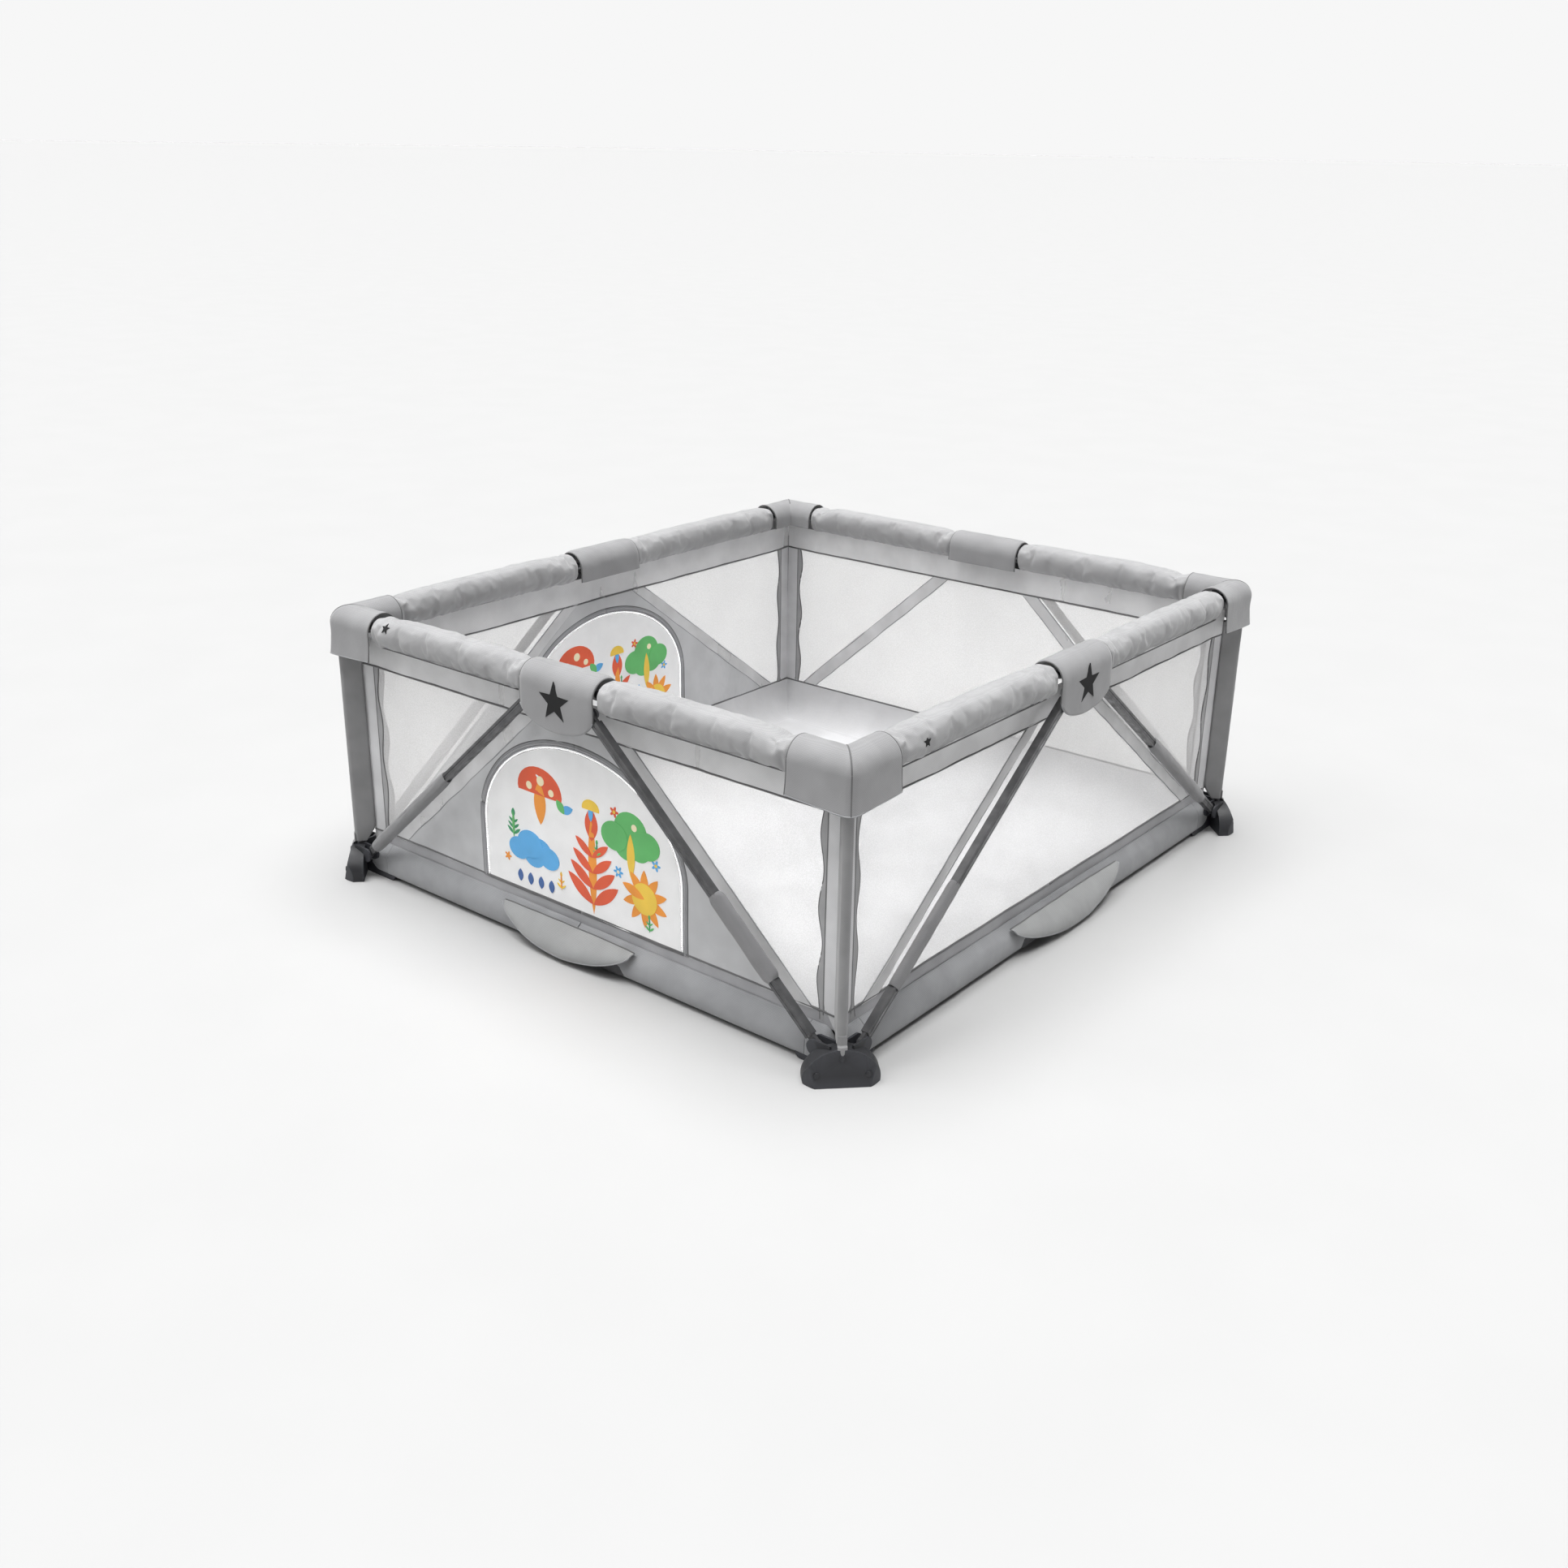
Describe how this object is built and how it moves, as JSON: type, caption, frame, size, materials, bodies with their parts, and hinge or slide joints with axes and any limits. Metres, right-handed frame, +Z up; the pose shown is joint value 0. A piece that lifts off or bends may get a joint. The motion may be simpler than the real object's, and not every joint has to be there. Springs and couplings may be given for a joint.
{
  "type": "playpen",
  "caption": "Folding square playpen with padded top rails, net walls, two arched zip doors and moulded corner feet.",
  "frame": {"origin": "on the floor below the middle of the open pen", "axes": "+Z up, the front side with the door facing -Y, the right side facing +X"},
  "size_m": [1.5918, 1.7658, 0.667],
  "materials": {
    "foot_plastic": "moulded charcoal plastic, fine grain",
    "frame_steel": "dark grey powder coat",
    "joint_plastic": "moulded dark plastic",
    "cover_cloth": "grey woven cover over foam",
    "net_cloth": "pale open net with grey bindings",
    "door_cloth": "white net with printed patches",
    "mat_cloth": "pale grey woven floor over padding"
  },
  "bodies": {
    "corner_front_left": {"foot_front_left": "foot_plastic", "post_front_left": "frame_steel"},
    "slider_front_left": {"slider_front_left": "joint_plastic", "corner_cap_front_left": "cover_cloth"},
    "corner_front_right": {"foot_front_right": "foot_plastic", "post_front_right": "frame_steel", "mesh_walls": "net_cloth", "floor_mat": "mat_cloth", "door_front": "door_cloth", "door_left": "door_cloth"},
    "slider_front_right": {"slider_front_right": "joint_plastic", "corner_cap_front_right": "cover_cloth"},
    "corner_back_right": {"foot_back_right": "foot_plastic", "post_back_right": "frame_steel"},
    "slider_back_right": {"slider_back_right": "joint_plastic", "corner_cap_back_right": "cover_cloth"},
    "corner_back_left": {"foot_back_left": "foot_plastic", "post_back_left": "frame_steel"},
    "slider_back_left": {"slider_back_left": "joint_plastic", "corner_cap_back_left": "cover_cloth"},
    "hub_front": {"hub_front": "joint_plastic", "hub_cover_front": "cover_cloth"},
    "top_rail_front_left": {"top_rail_front_left": "frame_steel", "rail_pad_front_left": "cover_cloth"},
    "bottom_rail_front_left": {"bottom_rail_front_left": "frame_steel"},
    "diagonal_front_left": {"diagonal_front_left": "frame_steel"},
    "top_rail_front_right": {"top_rail_front_right": "frame_steel", "rail_pad_front_right": "cover_cloth"},
    "bottom_rail_front_right": {"bottom_rail_front_right": "frame_steel"},
    "diagonal_front_right": {"diagonal_front_right": "frame_steel"},
    "hub_right": {"hub_right": "joint_plastic", "hub_cover_right": "cover_cloth"},
    "top_rail_right_front": {"top_rail_right_front": "frame_steel", "rail_pad_right_front": "cover_cloth"},
    "bottom_rail_right_front": {"bottom_rail_right_front": "frame_steel"},
    "diagonal_right_front": {"diagonal_right_front": "frame_steel"},
    "top_rail_right_back": {"top_rail_right_back": "frame_steel", "rail_pad_right_back": "cover_cloth"},
    "bottom_rail_right_back": {"bottom_rail_right_back": "frame_steel"},
    "diagonal_right_back": {"diagonal_right_back": "frame_steel"},
    "hub_back": {"hub_back": "joint_plastic", "hub_cover_back": "cover_cloth"},
    "top_rail_back_left": {"top_rail_back_left": "frame_steel", "rail_pad_back_left": "cover_cloth"},
    "bottom_rail_back_left": {"bottom_rail_back_left": "frame_steel"},
    "diagonal_back_left": {"diagonal_back_left": "frame_steel"},
    "top_rail_back_right": {"top_rail_back_right": "frame_steel", "rail_pad_back_right": "cover_cloth"},
    "bottom_rail_back_right": {"bottom_rail_back_right": "frame_steel"},
    "diagonal_back_right": {"diagonal_back_right": "frame_steel"},
    "hub_left": {"hub_left": "joint_plastic", "hub_cover_left": "cover_cloth"},
    "top_rail_left_front": {"top_rail_left_front": "frame_steel", "rail_pad_left_front": "cover_cloth"},
    "bottom_rail_left_front": {"bottom_rail_left_front": "frame_steel"},
    "diagonal_left_front": {"diagonal_left_front": "frame_steel"},
    "top_rail_left_back": {"top_rail_left_back": "frame_steel", "rail_pad_left_back": "cover_cloth"},
    "bottom_rail_left_back": {"bottom_rail_left_back": "frame_steel"},
    "diagonal_left_back": {"diagonal_left_back": "frame_steel"}
  },
  "joints": [
    {"name": "fold", "type": "hinge", "parent": "corner_front_right", "child": "bottom_rail_front_right", "pos_m": [0.645, -0.8, 0.02], "axis": [0, 1, 0], "range_deg": [0, 76], "deforming": ["corner_cap_front_left", "mesh_walls", "floor_mat", "door_front", "door_left", "corner_cap_front_right", "corner_cap_back_right", "corner_cap_back_left", "hub_cover_front", "rail_pad_front_left", "rail_pad_front_right", "hub_cover_right", "rail_pad_right_front", "rail_pad_right_back", "hub_cover_back", "rail_pad_back_left", "rail_pad_back_right", "hub_cover_left", "rail_pad_left_front", "rail_pad_left_back"]},
    {"name": "bottom_middle_front", "type": "hinge", "parent": "bottom_rail_front_right", "child": "bottom_rail_front_left", "pos_m": [0, -0.8, 0.02], "axis": [0, 1, 0], "range_deg": [-152, 0]},
    {"name": "bottom_front_left", "type": "hinge", "parent": "bottom_rail_front_left", "child": "corner_front_left", "pos_m": [-0.645, -0.8, 0.02], "axis": [0, 1, 0], "range_deg": [0, 76]},
    {"name": "bottom_right_front", "type": "hinge", "parent": "corner_front_right", "child": "bottom_rail_right_front", "pos_m": [0.713, -0.732, 0.02], "axis": [1, 0, 0], "range_deg": [0, 76]},
    {"name": "bottom_middle_right", "type": "hinge", "parent": "bottom_rail_right_front", "child": "bottom_rail_right_back", "pos_m": [0.713, 0, 0.02], "axis": [1, 0, 0], "range_deg": [-152, 0]},
    {"name": "bottom_right_back", "type": "hinge", "parent": "bottom_rail_right_back", "child": "corner_back_right", "pos_m": [0.713, 0.732, 0.02], "axis": [1, 0, 0], "range_deg": [0, 76]},
    {"name": "bottom_left_front", "type": "hinge", "parent": "corner_front_left", "child": "bottom_rail_left_front", "pos_m": [-0.713, -0.732, 0.02], "axis": [1, 0, 0], "range_deg": [0, 76]},
    {"name": "bottom_middle_left", "type": "hinge", "parent": "bottom_rail_left_front", "child": "bottom_rail_left_back", "pos_m": [-0.713, 0, 0.02], "axis": [1, 0, 0], "range_deg": [-152, 0]},
    {"name": "bottom_left_back", "type": "hinge", "parent": "bottom_rail_left_back", "child": "corner_back_left", "pos_m": [-0.713, 0.732, 0.02], "axis": [1, 0, 0], "range_deg": [0, 76]},
    {"name": "bottom_back_right", "type": "hinge", "parent": "corner_back_right", "child": "bottom_rail_back_right", "pos_m": [0.645, 0.8, 0.02], "axis": [0, 1, 0], "range_deg": [0, 76]},
    {"name": "bottom_middle_back", "type": "hinge", "parent": "bottom_rail_back_right", "child": "bottom_rail_back_left", "pos_m": [0, 0.8, 0.02], "axis": [0, 1, 0], "range_deg": [-152, 0]},
    {"name": "slide_front_left", "type": "slide", "parent": "corner_front_left", "child": "slider_front_left", "axis": [0, 0, -1], "range_m": [0, 0.3673]},
    {"name": "slide_front_right", "type": "slide", "parent": "corner_front_right", "child": "slider_front_right", "axis": [0, 0, -1], "range_m": [0, 0.3673]},
    {"name": "slide_back_right", "type": "slide", "parent": "corner_back_right", "child": "slider_back_right", "axis": [0, 0, -1], "range_m": [0, 0.3673]},
    {"name": "slide_back_left", "type": "slide", "parent": "corner_back_left", "child": "slider_back_left", "axis": [0, 0, -1], "range_m": [0, 0.3673]},
    {"name": "top_front_right", "type": "hinge", "parent": "slider_front_right", "child": "top_rail_front_right", "pos_m": [0.673, -0.8, 0.624], "axis": [0, 1, 0], "range_deg": [0, 76]},
    {"name": "hub_front_right", "type": "hinge", "parent": "top_rail_front_right", "child": "hub_front", "pos_m": [0.028, -0.8, 0.624], "axis": [0, 1, 0], "range_deg": [-76, 0]},
    {"name": "hub_front_left", "type": "hinge", "parent": "hub_front", "child": "top_rail_front_left", "pos_m": [-0.028, -0.8, 0.624], "axis": [0, 1, 0], "range_deg": [-76, 0]},
    {"name": "top_right_front", "type": "hinge", "parent": "slider_front_right", "child": "top_rail_right_front", "pos_m": [0.713, -0.76, 0.624], "axis": [1, 0, 0], "range_deg": [0, 76]},
    {"name": "hub_right_front", "type": "hinge", "parent": "top_rail_right_front", "child": "hub_right", "pos_m": [0.713, -0.028, 0.624], "axis": [1, 0, 0], "range_deg": [-76, 0]},
    {"name": "hub_right_back", "type": "hinge", "parent": "hub_right", "child": "top_rail_right_back", "pos_m": [0.713, 0.028, 0.624], "axis": [1, 0, 0], "range_deg": [-76, 0]},
    {"name": "top_left_front", "type": "hinge", "parent": "slider_front_left", "child": "top_rail_left_front", "pos_m": [-0.713, -0.76, 0.624], "axis": [1, 0, 0], "range_deg": [0, 76]},
    {"name": "hub_left_front", "type": "hinge", "parent": "top_rail_left_front", "child": "hub_left", "pos_m": [-0.713, -0.028, 0.624], "axis": [1, 0, 0], "range_deg": [-76, 0]},
    {"name": "hub_left_back", "type": "hinge", "parent": "hub_left", "child": "top_rail_left_back", "pos_m": [-0.713, 0.028, 0.624], "axis": [1, 0, 0], "range_deg": [-76, 0]},
    {"name": "top_back_right", "type": "hinge", "parent": "slider_back_right", "child": "top_rail_back_right", "pos_m": [0.673, 0.8, 0.624], "axis": [0, 1, 0], "range_deg": [0, 76]},
    {"name": "hub_back_right", "type": "hinge", "parent": "top_rail_back_right", "child": "hub_back", "pos_m": [0.028, 0.8, 0.624], "axis": [0, 1, 0], "range_deg": [-76, 0]},
    {"name": "hub_back_left", "type": "hinge", "parent": "hub_back", "child": "top_rail_back_left", "pos_m": [-0.028, 0.8, 0.624], "axis": [0, 1, 0], "range_deg": [-76, 0]},
    {"name": "diagonal_front_left", "type": "hinge", "parent": "corner_front_left", "child": "diagonal_front_left", "pos_m": [-0.683, -0.829, 0.06], "axis": [0, 1, 0], "range_deg": [-40.69, 0]},
    {"name": "diagonal_front_right", "type": "hinge", "parent": "corner_front_right", "child": "diagonal_front_right", "pos_m": [0.683, -0.829, 0.06], "axis": [0, 1, 0], "range_deg": [0, 40.69]},
    {"name": "diagonal_right_front", "type": "hinge", "parent": "corner_front_right", "child": "diagonal_right_front", "pos_m": [0.742, -0.77, 0.06], "axis": [1, 0, 0], "range_deg": [0, 43.16]},
    {"name": "diagonal_right_back", "type": "hinge", "parent": "corner_back_right", "child": "diagonal_right_back", "pos_m": [0.742, 0.77, 0.06], "axis": [1, 0, 0], "range_deg": [-43.16, 0]},
    {"name": "diagonal_back_right", "type": "hinge", "parent": "corner_back_right", "child": "diagonal_back_right", "pos_m": [0.683, 0.829, 0.06], "axis": [0, 1, 0], "range_deg": [0, 40.69]},
    {"name": "diagonal_back_left", "type": "hinge", "parent": "corner_back_left", "child": "diagonal_back_left", "pos_m": [-0.683, 0.829, 0.06], "axis": [0, 1, 0], "range_deg": [-40.69, 0]},
    {"name": "diagonal_left_front", "type": "hinge", "parent": "corner_front_left", "child": "diagonal_left_front", "pos_m": [-0.742, -0.77, 0.06], "axis": [1, 0, 0], "range_deg": [0, 43.16]},
    {"name": "diagonal_left_back", "type": "hinge", "parent": "corner_back_left", "child": "diagonal_left_back", "pos_m": [-0.742, 0.77, 0.06], "axis": [1, 0, 0], "range_deg": [-43.16, 0]}
  ],
  "couplings": [
    {"joint": "bottom_middle_front", "follows": "fold", "ratio": -2},
    {"joint": "bottom_front_left", "follows": "fold", "ratio": 1},
    {"joint": "bottom_right_front", "follows": "fold", "ratio": 1},
    {"joint": "bottom_middle_right", "follows": "fold", "ratio": -2},
    {"joint": "bottom_right_back", "follows": "fold", "ratio": 1},
    {"joint": "bottom_left_front", "follows": "fold", "ratio": 1},
    {"joint": "bottom_middle_left", "follows": "fold", "ratio": -2},
    {"joint": "bottom_left_back", "follows": "fold", "ratio": 1},
    {"joint": "bottom_back_right", "follows": "fold", "ratio": 1},
    {"joint": "bottom_middle_back", "follows": "fold", "ratio": -2},
    {"joint": "slide_front_left", "follows": "fold", "m_per_rad": 0.2769},
    {"joint": "slide_front_right", "follows": "fold", "m_per_rad": 0.2769},
    {"joint": "slide_back_right", "follows": "fold", "m_per_rad": 0.2769},
    {"joint": "slide_back_left", "follows": "fold", "m_per_rad": 0.2769},
    {"joint": "top_front_right", "follows": "fold", "ratio": 1},
    {"joint": "hub_front_right", "follows": "fold", "ratio": -1},
    {"joint": "hub_front_left", "follows": "fold", "ratio": -1},
    {"joint": "top_right_front", "follows": "fold", "ratio": 1},
    {"joint": "hub_right_front", "follows": "fold", "ratio": -1},
    {"joint": "hub_right_back", "follows": "fold", "ratio": -1},
    {"joint": "top_left_front", "follows": "fold", "ratio": 1},
    {"joint": "hub_left_front", "follows": "fold", "ratio": -1},
    {"joint": "hub_left_back", "follows": "fold", "ratio": -1},
    {"joint": "top_back_right", "follows": "fold", "ratio": 1},
    {"joint": "hub_back_right", "follows": "fold", "ratio": -1},
    {"joint": "hub_back_left", "follows": "fold", "ratio": -1},
    {"joint": "diagonal_front_left", "follows": "fold", "ratio": -0.53545},
    {"joint": "diagonal_front_right", "follows": "fold", "ratio": 0.53545},
    {"joint": "diagonal_right_front", "follows": "fold", "ratio": 0.56788},
    {"joint": "diagonal_right_back", "follows": "fold", "ratio": -0.56788},
    {"joint": "diagonal_back_right", "follows": "fold", "ratio": 0.53545},
    {"joint": "diagonal_back_left", "follows": "fold", "ratio": -0.53545},
    {"joint": "diagonal_left_front", "follows": "fold", "ratio": 0.56788},
    {"joint": "diagonal_left_back", "follows": "fold", "ratio": -0.56788}
  ]
}
